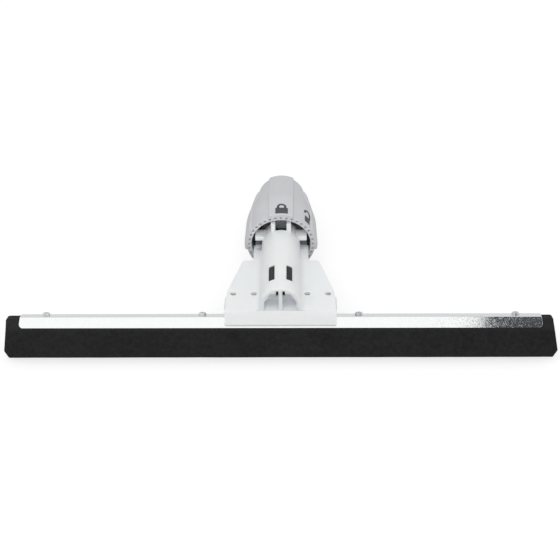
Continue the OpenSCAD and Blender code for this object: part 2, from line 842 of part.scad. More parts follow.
module lock_collar() {
    color([0.73, 0.74, 0.75])
        at_rest()
            in_socket()
                difference() {
                    union() {
                        rotate_extrude()
                            polygon(collar_outline);
                        for (angle = [bottom, top])
                            raised_pad(angle, pad_outline);
                        for (angle = [right - side_pad_lift, left + side_pad_lift])
                            raised_pad(angle, side_pad_outline);
                    }
                    collar_cavity();
                    rim_dimples();
                }
}

// Slot whose radius grows evenly with the angle, so that a turn of the collar moves a pin outwards
module cam_slot() {
    depth = cam_thickness + 2 * eps;
    function spot(f, off) =
        (pin_r + f * jaw_travel + off) * [cos(f * unlock_angle), sin(f * unlock_angle)];
    outer_side = [for (i = [0:spiral_steps]) spot(i / spiral_steps, cam_slot_half)];
    inner_side = [for (i = [spiral_steps:-1:0]) spot(i / spiral_steps, -cam_slot_half)];
    linear_extrude(depth)
        polygon(concat(outer_side, inner_side));
    for (f = [0, 1])
        translate(spot(f, 0))
            cylinder(r = cam_slot_half, h = depth);
}

module cam_plate() {
    color([0.80, 0.81, 0.80])
        at_rest()
            in_socket()
                difference() {
                    tube(cam_outer_r, cam_inner_r, cam_start, cam_end);
                    for (angle = clock)
                        rotate([0, 0, angle])
                            translate([0, 0, cam_start - eps])
                                cam_slot();
                }
}

module retaining_ring() {
    color([0.45, 0.45, 0.46])
        at_rest()
            in_socket()
                difference() {
                    tube(ring_r, ring_inner_r, ring_start, ring_end);
                    translate([-ring_gap / 2, 0, ring_start - eps])
                        cube([ring_gap, ring_r + eps, ring_thickness + 2 * eps]);
                }
}

// Jaw at an angle: round-backed shoe, head between the fins, and pin in the cam plate
module jaw(angle) {
    half = jaw_width / 2;
    color([0.24, 0.24, 0.25])
        at_rest()
            in_socket() {
                intersection() {
                    radial_box(angle, shoe_inner_r, sleeve_r, -half, half,
                               jaw_start, jaw_start + jaw_length);
                    translate([0, 0, jaw_start])
                        cylinder(r = shoe_outer_r, h = jaw_length);
                }
                radial_box(angle, shoe_inner_r, jaw_head_r, -half, half, jaw_start, fin_end);
                rotate([0, 0, angle])
                    translate([pin_r, 0, fin_end - eps])
                        cylinder(d = pin_d, h = cam_end - fin_end + eps);
            }
}

module jaw_top() {
    jaw(top);
}

module jaw_right() {
    jaw(right);
}

module jaw_bottom() {
    jaw(bottom);
}

module jaw_left() {
    jaw(left);
}

// Grip pad at an angle: bonded under a jaw's shoe, hollowed to the handle's radius
module grip_pad(angle) {
    half = jaw_width / 2 - grip_margin;
    color([0.10, 0.10, 0.11])
        at_rest()
            in_socket()
                difference() {
                    radial_box(angle, handle_d / 4, shoe_inner_r, -half, half,
                               jaw_start + grip_margin, jaw_start + jaw_length - grip_margin);
                    translate([0, 0, jaw_start])
                        cylinder(d = handle_d, h = jaw_length);
                }
}

module grip_pad_top() {
    grip_pad(top);
}

module grip_pad_right() {
    grip_pad(right);
}

module grip_pad_bottom() {
    grip_pad(bottom);
}

module grip_pad_left() {
    grip_pad(left);
}

front_blade();
rear_blade();
core_bar();
channel();
channel_screws();
socket_bracket();
stop_plug();
rear_clamp_bar();
clamp_screws();
clamp_nuts();
lock_collar();
cam_plate();
retaining_ring();
jaw_top();
jaw_right();
jaw_bottom();
jaw_left();
grip_pad_top();
grip_pad_right();
grip_pad_bottom();
grip_pad_left();
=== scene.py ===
"""Looks of a floor squeegee head: soft-edged mouldings, foam strips, printed signs and a plain studio.

Each piece is made in metres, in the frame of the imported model, and rides on the body of the node that it
stands for. Sizes are named in millimetres through MM.
"""

from __future__ import annotations

import json
import logging
import math
from dataclasses import dataclass, field, replace
from enum import Enum
from typing import Any, Union

import bmesh
import bpy
from mathutils import Matrix, Vector, noise
from mathutils.bvhtree import BVHTree

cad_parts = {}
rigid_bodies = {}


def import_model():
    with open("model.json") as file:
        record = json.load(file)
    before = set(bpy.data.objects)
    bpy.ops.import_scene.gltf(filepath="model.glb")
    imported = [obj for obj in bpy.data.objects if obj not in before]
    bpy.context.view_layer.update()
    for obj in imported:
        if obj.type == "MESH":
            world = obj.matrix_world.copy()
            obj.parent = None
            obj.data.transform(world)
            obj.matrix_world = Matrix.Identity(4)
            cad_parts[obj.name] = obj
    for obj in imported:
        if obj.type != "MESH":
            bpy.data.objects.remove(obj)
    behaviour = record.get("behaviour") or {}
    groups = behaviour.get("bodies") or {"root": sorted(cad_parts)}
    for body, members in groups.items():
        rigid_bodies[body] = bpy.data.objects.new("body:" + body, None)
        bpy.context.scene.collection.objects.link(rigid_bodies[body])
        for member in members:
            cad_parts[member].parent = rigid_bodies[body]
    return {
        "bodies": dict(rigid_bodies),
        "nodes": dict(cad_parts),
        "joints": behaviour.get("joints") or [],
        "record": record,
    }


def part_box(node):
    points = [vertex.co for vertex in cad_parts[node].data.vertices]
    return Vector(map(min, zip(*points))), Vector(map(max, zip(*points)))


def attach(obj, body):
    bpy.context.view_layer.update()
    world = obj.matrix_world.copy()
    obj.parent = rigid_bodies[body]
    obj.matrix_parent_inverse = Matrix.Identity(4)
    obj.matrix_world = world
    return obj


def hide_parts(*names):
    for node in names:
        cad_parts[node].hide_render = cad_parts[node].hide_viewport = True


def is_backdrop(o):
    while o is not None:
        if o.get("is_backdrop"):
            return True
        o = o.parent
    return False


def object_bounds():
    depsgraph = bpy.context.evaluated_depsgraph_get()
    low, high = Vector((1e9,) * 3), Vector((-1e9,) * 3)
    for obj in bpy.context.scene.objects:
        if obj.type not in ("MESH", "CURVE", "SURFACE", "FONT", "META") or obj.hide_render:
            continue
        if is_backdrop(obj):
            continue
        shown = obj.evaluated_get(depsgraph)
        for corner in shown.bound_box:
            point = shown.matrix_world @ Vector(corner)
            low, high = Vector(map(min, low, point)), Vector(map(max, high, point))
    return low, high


LOG = logging.getLogger("squeegee")
MM = 0.001
IMAGE_SIDE = 560
RISING = (0.0, 1.0)
FALLING = (1.0, 0.0)
RIGHTWARDS = Vector((1.0, 0.0, 0.0)).freeze()
UPWARDS = Vector((0.0, 0.0, 1.0)).freeze()
Color = tuple[float, float, float]
Span = tuple[float, float]
Number = Union["Wire", float]


class JawPlace(Enum):
    """Places of the jaws round the handle, clockwise from the top."""

    TOP = "top"
    RIGHT = "right"
    BOTTOM = "bottom"
    LEFT = "left"


class Shackle(Enum):
    """The two states of a padlock sign."""

    CLOSED = "closed"
    OPEN = "open"


@dataclass(frozen=True)
class HandleFrame:
    """Frame of the handle's socket, with its origin in the middle of the collar's rim."""

    rim: Vector
    along: Vector
    above: Vector
    right: Vector

    @classmethod
    def from_record(cls, record: dict[str, Any]) -> HandleFrame:
        """Read the frame from the collar's joint.

        Args:
            record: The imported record.

        Returns:
            The frame, with its axes at unit length.
        """
        joints = record["behaviour"]["joints"]
        turn = next(joint for joint in joints if joint["name"] == "collar_turn")
        along = -Vector(turn["axis"]).normalized()
        return cls(Vector(turn["pos_m"]), along, RIGHTWARDS.cross(along), RIGHTWARDS)

    def outwards(self, clock: float) -> Vector:
        """Return the way out from the handle at an angle from the top, in degrees."""
        turn = math.radians(clock)
        return self.above * math.cos(turn) + self.right * math.sin(turn)

    def point(self, clock: float, radius: float, distance: float) -> Vector:
        """Return the point at a radius and a distance along the handle from the rim."""
        return self.rim + self.outwards(clock) * radius + self.along * distance


@dataclass(frozen=True)
class BladeFrame:
    """Directions of the blades: along their length, up from their tip and back through them."""

    right: Vector
    up: Vector
    back: Vector

    @classmethod
    def from_record(cls, record: dict[str, Any]) -> BladeFrame:
        """Read the frame from the mount at the blades' edge.

        Args:
            record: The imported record.

        Returns:
            The frame, with its axes at unit length.
        """
        edge = next(mount for mount in record["mounts"] if mount["name"] == "blade_edge")
        up = -Vector(edge["axis"]).normalized()
        return cls(RIGHTWARDS, up, up.cross(RIGHTWARDS))


@dataclass(frozen=True)
class Wire:
    """An output socket of a shader node, which adds Math nodes where it is used in an expression."""

    tree: ShaderTree
    socket: bpy.types.NodeSocket

    def _math(self, operation: str, first: Number, second: Number) -> Wire:
        """Add one Math node.

        Args:
            operation: Name of the operation.
            first: First term.
            second: Second term.

        Returns:
            The node's value.
        """
        return self.tree.node("ShaderNodeMath", {"operation": operation}, {0: first, 1: second})

    def __add__(self, other: Number) -> Wire:
        """Return self + other."""
        return self._math("ADD", self, other)

    def __radd__(self, other: Number) -> Wire:
        """Return other + self."""
        return self._math("ADD", other, self)

    def __sub__(self, other: Number) -> Wire:
        """Return self - other."""
        return self._math("SUBTRACT", self, other)

    def __rsub__(self, other: Number) -> Wire:
        """Return other - self."""
        return self._math("SUBTRACT", other, self)

    def __mul__(self, other: Number) -> Wire:
        """Return self * other."""
        return self._math("MULTIPLY", self, other)

    def __rmul__(self, other: Number) -> Wire:
        """Return other * self."""
        return self._math("MULTIPLY", other, self)

    def most(self, other: Number) -> Wire:
        """Return the larger of self and other."""
        return self._math("MAXIMUM", self, other)


@dataclass(frozen=True)
class Speckle:
    """A noise pattern: its features per metre, its detail, and where a ramp over it starts and ends."""

    per_metre: float
    detail: float
    edge: Span = RISING


def grey(level: float) -> tuple[float, float, float, float]:
    """Return an opaque grey."""
    return (level, level, level, 1.0)


class ShaderTree:
    """A node tree that is written with expressions."""

    def __init__(self, tree: bpy.types.NodeTree) -> None:
        """Empty a node tree and take it over."""
        self.tree = tree
        self.tree.nodes.clear()

    def node(
        self,
        kind: str,
        settings: dict[str, Any] | None = None,
        inputs: dict[Any, Any] | None = None,
        output: str | int = 0,
    ) -> Wire:
        """Add a node.

        Args:
            kind: Type of the node.
            settings: Its settings, which are set first. A ramp's stops are places with grey levels.
            inputs: Values or wires of its sockets, by name or number.
            output: The socket that is returned.

        Returns:
            One of the node's outputs.
        """
        made = self.tree.nodes.new(kind)
        for key, value in (settings or {}).items():
            if key == "stops":
                self._set_stops(made.color_ramp, value)
            else:
                setattr(made, key, value)
        for key, value in (inputs or {}).items():
            if isinstance(value, Wire):
                self.tree.links.new(value.socket, made.inputs[key])
            else:
                made.inputs[key].default_value = value
        return Wire(self, made.outputs[output])

    @staticmethod
    def _set_stops(ramp: bpy.types.ColorRamp, stops: tuple[Span, ...]) -> None:
        """Give a colour ramp its two grey stops.

        Args:
            ramp: The ramp.
            stops: Place and grey level of each stop.
        """
        for stop, (place, level) in zip(ramp.elements, stops):
            stop.position = place
            stop.color = grey(level)

    def coords(self) -> Wire:
        """Return the object's own coordinates."""
        return self.node("ShaderNodeTexCoord", output="Object")

    def noise(self, at: Wire, pattern: Speckle) -> Wire:
        """Return a noise pattern from 0 to 1."""
        inputs = {"Vector": at, "Scale": pattern.per_metre, "Detail": pattern.detail}
        return self.node("ShaderNodeTexNoise", inputs=inputs, output="Fac")

    def patches(self, at: Wire, pattern: Speckle) -> Wire:
        """Return a noise pattern led through its ramp."""
        return self.ramp(self.noise(at, pattern), pattern.edge)

    def cells(self, at: Wire, scale: float, output: str = "Distance") -> Wire:
        """Return a cell pattern's distance or colour at a number of cells per metre."""
        return self.node("ShaderNodeTexVoronoi", inputs={"Vector": at, "Scale": scale}, output=output)

    def ramp(self, value: Number, edge: Span, levels: Span = RISING) -> Wire:
        """Return a value led through a ramp that has two levels at the two ends of an edge."""
        stops = tuple(zip(edge, levels))
        return self.node("ShaderNodeValToRGB", {"stops": stops}, {"Fac": value}, "Color")

    def height(self, at: Wire, way: Vector) -> Wire:
        """Return how far coordinates lie along a direction."""
        inputs = {0: at, 1: way}
        return self.node("ShaderNodeVectorMath", {"operation": "DOT_PRODUCT"}, inputs, "Value")

    def stretched(self, at: Wire, scale: Vector) -> Wire:
        """Return coordinates stretched along the axes."""
        return self.node("ShaderNodeMapping", inputs={"Vector": at, "Scale": scale})

    def blend(self, share: Number, first: Wire | Color, second: Wire | Color) -> Wire:
        """Mix two colours.

        Args:
            share: Share of the second one, from 0 to 1.
            first: First colour.
            second: Second colour.

        Returns:
            The mixed colour.
        """
        inputs: dict[int, Any] = {0: share}
        for socket, color in ((6, first), (7, second)):
            inputs[socket] = color if isinstance(color, Wire) else (*color, 1.0)
        return self.node("ShaderNodeMix", {"data_type": "RGBA"}, inputs, 2)

    def bump(self, height: Wire, depth: float, strength: float) -> Wire:
        """Return a normal from a height pattern of a depth in metres."""
        inputs = {"Height": height, "Distance": depth, "Strength": strength}
        return self.node("ShaderNodeBump", inputs=inputs)

    def surface(self, shader: Wire, kind: str = "ShaderNodeOutputMaterial") -> None:
        """Lead a shader to the surface of the material, or of what another kind of output shows."""
        self.tree.links.new(shader.socket, self.tree.nodes.new(kind).inputs["Surface"])


def new_material(name: str) -> tuple[bpy.types.Material, ShaderTree]:
    """Make a material and the empty tree that paints it.

    Args:
        name: Name of the material.

    Returns:
        The material and its tree.
    """
    made = bpy.data.materials.new(name)
    made.use_nodes = True
    return made, ShaderTree(made.node_tree)


def new_object(name: str, data: bpy.types.ID) -> bpy.types.Object:
    """Make an object and add it to the scene.

    Args:
        name: Name of the object.
        data: Its mesh, light or camera.

    Returns:
        The object.
    """
    made = bpy.data.objects.new(name, data)
    bpy.context.scene.collection.objects.link(made)
    return made


def mesh_object(shape: bmesh.types.BMesh, name: str, material: bpy.types.Material) -> bpy.types.Object:
    """Turn a shape into an object.

    Args:
        shape: The shape, which is freed.
        name: Name of the object.
        material: Its material.

    Returns:
        The object.
    """
    mesh = bpy.data.meshes.new(name)
    shape.to_mesh(mesh)
    shape.free()
    mesh.materials.append(material)
    return new_object(name, mesh)


def round_edges(
    shape: bmesh.types.BMesh, edges: list[bmesh.types.BMEdge], radius: float, segments: int
) -> None:
    """Round some edges of a shape.

    Args:
        shape: The shape, which is changed.
        edges: The edges.
        radius: Width of the rounding.
        segments: Steps across it.
    """
    bmesh.ops.bevel(
        shape,
        geom=edges,
        offset=radius,
        offset_type="OFFSET",
        segments=segments,
        profile=0.5,
        affect="EDGES",
        clamp_overlap=False,
        material=-1,
    )


def slice_along(shape: bmesh.types.BMesh, way: Vector, low: float, high: float, count: int) -> None:
    """Cut a shape's faces across a direction into even slices.

    Args:
        shape: The shape, which is changed.
        way: The direction.
        low: Where the first slice starts along it.
        high: Where the last slice ends along it.
        count: Number of slices.
    """
    for index in range(1, count):
        everything = [*shape.verts, *shape.edges, *shape.faces]
        spot = way * (low + (high - low) * index / count)
        bmesh.ops.bisect_plane(shape, geom=everything, plane_co=spot, plane_no=way)


@dataclass(frozen=True)
class Finish:
    """A finish: its name, the record's slot that it belongs to, its colour and its roughness."""

    name: str
    slot: str
    color: Color
    roughness: float

    def material(self) -> bpy.types.Material:
        """Find the finish's material, which is made at the first call.

        Returns:
            The material.
        """
        found = bpy.data.materials.get(self.name)
        if found is None:
            found, tree = new_material(self.name)
            inputs = self.inputs(tree, tree.coords())
            tree.surface(tree.node("ShaderNodeBsdfPrincipled", inputs=inputs))
        return found

    def tone(self, factor: float) -> Color:
        """Return the colour made lighter or darker by a factor."""
        return tuple(min(1.0, channel * factor) for channel in self.color)

    def inputs(self, tree: ShaderTree, at: Wire) -> dict[str, Any]:
        """Add the finish's patterns.

        Args:
            tree: The material's tree.
            at: Coordinates of the object.

        Returns:
            The shader's inputs.
        """
        raise NotImplementedError


@dataclass(frozen=True)
class MouldedPlastic(Finish):
    """Moulded plastic with a fine spark-eroded grain, an uneven tone and a depth that light enters."""

    grain: float = 0.03 * MM
    tone_spread: float = 0.03
    scuff: float = 0.0
    depth: float = 0.0
    clouds: Speckle = Speckle(28.0, 4.0, (0.3, 0.7))
    cloud_gloss: float = 0.12
    grains: Speckle = Speckle(2400.0, 3.0)
    grain_gloss: float = 0.1
    grain_strength: float = 0.5
    scuffs: Speckle = Speckle(420.0, 5.0, (0.52, 0.72))
    scuff_stretch: Vector = field(default_factory=lambda: Vector((1.0, 0.25, 1.0)))
    scuff_whitening: float = 0.22
    ior: float = 1.49

    def inputs(self, tree: ShaderTree, at: Wire) -> dict[str, Any]:
        """Add grain, uneven tone, scuffs and depth.

        Args:
            tree: The material's tree.
            at: Coordinates of the object.

        Returns:
            The shader's inputs.
        """
        clouds = tree.noise(at, self.clouds)
        grains = tree.noise(at, self.grains)
        rub = tree.patches(tree.stretched(at, self.scuff_stretch), self.scuffs) * self.scuff
        low = self.tone(1.0 - self.tone_spread)
        high = self.tone(1.0 + self.tone_spread)
        worn = tuple(channel + self.scuff_whitening * (1.0 - channel) for channel in high)
        even = tree.blend(tree.ramp(clouds, self.clouds.edge), low, high)
        gloss = self.cloud_gloss * (clouds - 0.5) + self.grain_gloss * (grains - 0.5)
        return {
            "Base Color": tree.blend(rub, even, worn),
            "Roughness": self.roughness + gloss,
            "Normal": tree.bump(grains, self.grain, self.grain_strength),
            "IOR": self.ior,
            "Subsurface Weight": 1.0 if self.depth else 0.0,
            "Subsurface Scale": self.depth,
            "Subsurface Radius": (1.0, 1.0, 1.0),
        }


@dataclass(frozen=True)
class FoamRubber(Finish):
    """Black cellular rubber: open pores of two sizes, painted darker as shade in the pits, over a dull
    skin, with a band of painted light along its top below the channel.
    """

    pore: float = 1.1 * MM
    pore_edge: Span = (0.16, 0.42)
    pore_share: float = 0.5
    blister: float = 3.2 * MM
    blister_edge: Span = (0.05, 0.17)
    pit_depth: float = 0.25 * MM
    pit_strength: float = 0.8
    # The pits are painted darker in colour as well: painted shade in the pores.
    pit_share: float = 0.85
    pit_shade_tone: float = 0.3
    up: Vector = UPWARDS
    # Painted light: a paler band on the foam just below the channel's lower edge.
    lit_band_from: float = 0.0
    lit_band_depth: float = 5.0 * MM
    lit_band_share: float = 0.12
    dust: Speckle = Speckle(950.0, 6.0, (0.56, 0.78))
    dust_share: float = 0.22
    # The dust's paler colour also colours the band of painted light.
    dust_and_lit_band_tone: float = 6.0
    dust_gloss: float = 0.1
    mottle: Speckle = Speckle(230.0, 5.0, (0.32, 0.68))
    clouds: Speckle = Speckle(34.0, 4.0, (0.3, 0.7))
    cloud_share: float = 0.4
    tone_spread: float = 0.4
    specular: float = 0.25

    def inputs(self, tree: ShaderTree, at: Wire) -> dict[str, Any]:
        """Add pores with painted shade, mottle, dust and the band of painted light below the channel.

        Args:
            tree: The material's tree.
            at: Coordinates of the object.

        Returns:
            The shader's inputs.
        """
        # Painted light: the band is palest at the channel's lower edge and fades out downwards.
        below = (self.lit_band_from - tree.height(at, self.up)) * (1.0 / self.lit_band_depth)
        lighter_mask = tree.ramp(below, (0.0, 1.0), FALLING)
        pores = tree.ramp(tree.cells(at, 1.0 / self.pore), self.pore_edge, FALLING)
        blisters = tree.ramp(tree.cells(at, 1.0 / self.blister), self.blister_edge, FALLING)
        pits = (pores * self.pore_share).most(blisters)
        dust = tree.patches(at, self.dust)
        mottle = tree.patches(at, self.mottle)
        uneven = self.cloud_share * tree.patches(at, self.clouds) + (1.0 - self.cloud_share) * mottle
        skin = tree.blend(uneven, self.tone(1.0 - self.tone_spread), self.tone(1.0 + self.tone_spread))
        # One paler colour serves the real dust specks and the band of painted light.
        dust_and_lit_band = (dust * self.dust_share).most(lighter_mask * self.lit_band_share)
        dusty_and_lit = tree.blend(dust_and_lit_band, skin, self.tone(self.dust_and_lit_band_tone))
        return {
            # Painted shade: the colour is darkened in the pores.
            "Base Color": tree.blend(pits * self.pit_share, dusty_and_lit, self.tone(self.pit_shade_tone)),
            "Roughness": self.roughness - self.dust_gloss * dust,
            "Normal": tree.bump(1.0 - pits, self.pit_depth, self.pit_strength),
            "Specular IOR Level": self.specular,
        }


@dataclass(frozen=True)
class ZincSheet(Finish):
    """Bright zinc plate on sheet steel: small spangle grains, each with its own gloss, and fine frost."""

    spangle: float = 2.4 * MM
    spangle_share: float = 0.6
    spangle_tone: float = 0.95
    spangle_gloss: float = 0.1
    waves: Speckle = Speckle(500.0, 3.0)
    frost: Speckle = Speckle(2100.0, 4.0)
    specks: Speckle = Speckle(560.0, 5.0, (0.52, 0.64))
    speck_gloss: float = 0.2
    relief: float = 0.06 * MM
    relief_strength: float = 0.7
    relief_shares: tuple[float, float, float, float] = (0.5, 0.3, 0.5, 0.4)

    def inputs(self, tree: ShaderTree, at: Wire) -> dict[str, Any]:
        """Add spangle, frost and specks.

        Args:
            tree: The material's tree.
            at: Coordinates of the object.

        Returns:
            The shader's inputs.
        """
        cells = tree.cells(at, 1.0 / self.spangle, "Color")
        spangle = tree.node("ShaderNodeSeparateColor", inputs={"Color": cells}, output="Red")
        frost = tree.noise(at, self.frost)
        waves = tree.noise(at, self.waves)
        specks = tree.patches(at, self.specks)
        by_spangle, by_frost, by_wave, by_speck = self.relief_shares
        height = by_spangle * spangle + by_frost * frost + by_wave * waves + by_speck * specks
        uneven = self.spangle_share * spangle + (1.0 - self.spangle_share) * frost
        return {
            "Base Color": tree.blend(uneven, self.tone(self.spangle_tone), self.color),
            "Roughness": self.roughness + self.spangle_gloss * (spangle - 0.5) + self.speck_gloss * specks,
            "Normal": tree.bump(height, self.relief, self.relief_strength),
            "Metallic": 1.0,
        }


@dataclass(frozen=True)
class WorkedMetal(Finish):
    """Plain metal with fine drawn lines, stains and rubbed spots."""

    stretch: Vector = field(default_factory=lambda: Vector((0.05, 1.0, 1.0)))
    metallic: float = 1.0
    lines: Speckle = Speckle(3200.0, 3.0)
    line_depth: float = 0.012 * MM
    line_strength: float = 0.5
    line_gloss: float = 0.16
    stains: Speckle = Speckle(150.0, 5.0, (0.35, 0.75))
    stain_gloss: float = 0.1
    stain_tone: float = 0.8
    rubbed_tone: float = 1.06

    def inputs(self, tree: ShaderTree, at: Wire) -> dict[str, Any]:
        """Add drawn lines and stains.

        Args:
            tree: The material's tree.
            at: Coordinates of the object.

        Returns:
            The shader's inputs.
        """
        lines = tree.noise(tree.stretched(at, self.stretch), self.lines)
        lighter_mask = tree.patches(at, self.stains)
        gloss = self.line_gloss * (lines - 0.5) + self.stain_gloss * (0.5 - lighter_mask)
        return {
            "Base Color": tree.blend(lighter_mask, self.tone(self.stain_tone), self.tone(self.rubbed_tone)),
            "Roughness": self.roughness + gloss,
            "Normal": tree.bump(lines, self.line_depth, self.line_strength),
            "Metallic": self.metallic,
        }


@dataclass(frozen=True)
class GripRubber(Finish):
    """Soft rubber with a dull bloom and a fine cloth-pressed texture."""

    bloom: Speckle = Speckle(120.0, 5.0, (0.4, 0.8))
    bloom_tone: float = 2.2
    threads: Speckle = Speckle(1900.0, 2.0)
    thread_depth: float = 0.06 * MM
    thread_strength: float = 0.7
    thread_gloss: float = 0.1

    def inputs(self, tree: ShaderTree, at: Wire) -> dict[str, Any]:
        """Add the bloom and the pressed texture.

        Args:
            tree: The material's tree.
            at: Coordinates of the object.

        Returns:
            The shader's inputs.
        """
        threads = tree.noise(at, self.threads)
        return {
            "Base Color": tree.blend(tree.patches(at, self.bloom), self.color, self.tone(self.bloom_tone)),
            "Roughness": self.roughness + self.thread_gloss * (threads - 0.5),
            "Normal": tree.bump(threads, self.thread_depth, self.thread_strength),
        }


@dataclass(frozen=True)
class PrintInk(Finish):
    """Dark pad-printed ink, slightly broken where it lies on the grain."""

    breaks: Speckle = Speckle(2600.0, 3.0, (0.45, 0.75))
    broken_tone: float = 1.7
    broken_gloss: float = 0.15
    relief: float = 0.02 * MM
    relief_strength: float = 0.4

    def inputs(self, tree: ShaderTree, at: Wire) -> dict[str, Any]:
        """Add the broken print.

        Args:
            tree: The material's tree.
            at: Coordinates of the object.

        Returns:
            The shader's inputs.
        """
        broken = tree.patches(at, self.breaks)
        return {
            "Base Color": tree.blend(broken, self.color, self.tone(self.broken_tone)),
            "Roughness": self.roughness + self.broken_gloss * broken,
            "Normal": tree.bump(broken, self.relief, self.relief_strength),
        }


EVEN_LINES = Vector((1.0, 1.0, 1.0))
FOAM = FoamRubber("black_foam", "foam_rubber", (0.015, 0.0147, 0.0153), 0.92)
ZINC = ZincSheet("bright_zinc", "zinc_sheet", (0.98, 0.985, 0.99), 0.1)
SCREW = WorkedMetal("zinc_screw", "screw_steel", (0.72, 0.73, 0.745), 0.4, EVEN_LINES)
BOLT = WorkedMetal("pale_bolt", "screw_steel", (0.78, 0.79, 0.8), 0.5, EVEN_LINES)
CORE = WorkedMetal("mill_aluminium", "core_aluminium", (0.70, 0.71, 0.73), 0.38)
CLAMP = WorkedMetal("satin_grey", "clamp_metal", (0.30, 0.31, 0.33), 0.45, EVEN_LINES, 0.0)
SPRING = WorkedMetal("oiled_steel", "spring_steel", (0.22, 0.22, 0.23), 0.3, EVEN_LINES)
BRACKET = MouldedPlastic(
    "white_plastic", "bracket_plastic", (0.897, 0.93, 0.963), 0.42, tone_spread=0.012, depth=2.5 * MM
)
COLLAR = MouldedPlastic("grey_plastic", "collar_plastic", (0.655, 0.66, 0.683), 0.34, 0.045 * MM, 0.02)
JAW = MouldedPlastic("dark_plastic", "jaw_plastic", (0.18, 0.186, 0.198), 0.48, scuff=0.2)
# A near-black part behind the tube's windows, which makes what is seen through them dark.
PLUG = MouldedPlastic("near_black_plug", "jaw_plastic", (0.012, 0.0125, 0.0135), 0.5)
CAM = MouldedPlastic("black_acetal", "cam_plastic", (0.03, 0.03, 0.033), 0.3)
GRIP = GripRubber("dull_rubber", "grip_rubber", (0.02, 0.02, 0.022), 0.85)
INK = PrintInk("sign_ink", "collar_plastic", (0.065, 0.065, 0.07), 0.55)


@dataclass
class EdgeRounder:
    """Rounds the sharp edges of a shape, and leaves those sharp where there is no room for it."""

    shape: bmesh.types.BMesh
    width: float
    segments: int
    sharp_deg: float = 32.0
    tight_deg: float = 35.0
    straight_deg: float = 150.0
    least_sine: float = 1e-4

    def run(self) -> None:
        """Round the edges."""
        round_edges(self.shape, self._edges(), self.width, self.segments)

    def _edges(self) -> list[bmesh.types.BMEdge]:
        """Choose the edges.

        Returns:
            The sharp edges that have room at each of their corners.
        """
        limit = math.radians(self.sharp_deg)
        joined = [edge for edge in self.shape.edges if edge.is_manifold]
        chosen = {edge for edge in joined if edge.calc_face_angle() > limit}
        while True:
            crowded = set()
            for face in self.shape.faces:
                for loop in face.loops:
                    crowded |= self._crowded(loop, chosen)
            if not crowded:
                return [edge for edge in self.shape.edges if edge in chosen]
            chosen -= crowded

    def _crowded(
        self, loop: bmesh.types.BMLoop, chosen: set[bmesh.types.BMEdge]
    ) -> set[bmesh.types.BMEdge]:
        """Find the chosen edges that have no room at one corner of a face.

        Args:
            loop: The corner.
            chosen: The edges that are to be rounded.

        Returns:
            Those of the corner's two edges that should stay sharp.
        """
        pair = {loop.edge, loop.link_loop_prev.edge}
        rounded = pair & chosen
        angle = loop.calc_angle()
        if len(rounded) == 2:
            return rounded if angle < math.radians(self.tight_deg) else set()
        if len(rounded) == 1:
            slide = self.width / max(math.sin(angle), self.least_sine)
            rail = (pair - rounded).pop()
            bent = angle < math.radians(self.straight_deg)
            return rounded if bent and slide > rail.calc_length() else set()
        return set()


class Bench:
    """The loaded frame, and the way that pieces are hung on it."""

    merge_gap = 0.002 * MM
    flat_deg = 0.4
    smooth_deg = 38.0

    def __init__(self) -> None:
        """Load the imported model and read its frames."""
        self.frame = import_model()
        self.packed_box = [list(corner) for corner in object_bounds()]
        record = self.frame["record"]
        self.handle = HandleFrame.from_record(record)
        self.blade = BladeFrame.from_record(record)
        bodies = record["behaviour"]["bodies"]
        self.body_of = {node: body for body, nodes in bodies.items() for node in nodes}

    def copy_of(self, node: str) -> bmesh.types.BMesh:
        """Copy a node's mesh as one closed shape.

        Args:
            node: Name of the node.

        Returns:
            The shape, with its triangles merged and its flat faces in even triangles.
        """
        shape = bmesh.new()
        shape.from_mesh(self.frame["nodes"][node].data)
        bmesh.ops.remove_doubles(shape, verts=shape.verts, dist=self.merge_gap)
        limit = math.radians(self.flat_deg)
        flat = [edge for edge in shape.edges if edge.is_manifold and edge.calc_face_angle() < limit]
        bmesh.ops.beautify_fill(shape, faces=shape.faces, edges=flat, method="ANGLE")
        return shape

    def hang(self, shape: bmesh.types.BMesh, name: str, body: str, finish: Finish) -> bpy.types.Object:
        """Turn a shape into a piece that rides on a body.

        Args:
            shape: The shape, which is freed.
            name: Name of the piece.
            body: Body that it rides on.
            finish: Its finish.

        Returns:
            The piece.
        """
        piece = mesh_object(shape, name, finish.material())
        mesh = piece.data
        mesh.shade_smooth()
        mesh.set_sharp_from_angle(angle=math.radians(self.smooth_deg))
        even = piece.modifiers.new("even_normals", "WEIGHTED_NORMAL")
        even.keep_sharp = True
        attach(piece, body)
        LOG.info("%s rides on %s with %d faces", name, body, len(mesh.polygons))
        return piece

    def stand_for(self, shape: bmesh.types.BMesh, name: str, node: str, finish: Finish) -> bpy.types.Object:
        """Turn a shape into the piece that is shown in place of a node.

        Args:
            shape: The shape, which is freed.
            name: Name of the piece.
            node: The node that it stands for.
            finish: Its finish.

        Returns:
            The piece.
        """
        piece = self.hang(shape, name, self.body_of[node], finish)
        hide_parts(node)
        return piece

    def soft_copy(self, node: str, name: str, finish: Finish, width: float, segments: int = 2) -> None:
        """Show a node as a copy whose edges are rounded.

        Args:
            node: The node.
            name: Name of the piece.
            finish: Its finish.
            width: Width of the rounding.
            segments: Steps across the rounding.
        """
        shape = self.copy_of(node)
        EdgeRounder(shape, width, segments).run()
        self.stand_for(shape, name, node, finish)

    def dress(self, node: str, finish: Finish) -> None:
        """Show a node as it is packed.

        Args:
            node: The node.
            finish: Its finish.
        """
        piece = self.frame["nodes"][node]
        piece.data.materials.clear()
        piece.data.materials.append(finish.material())
        LOG.info("%s is shown as packed", node)


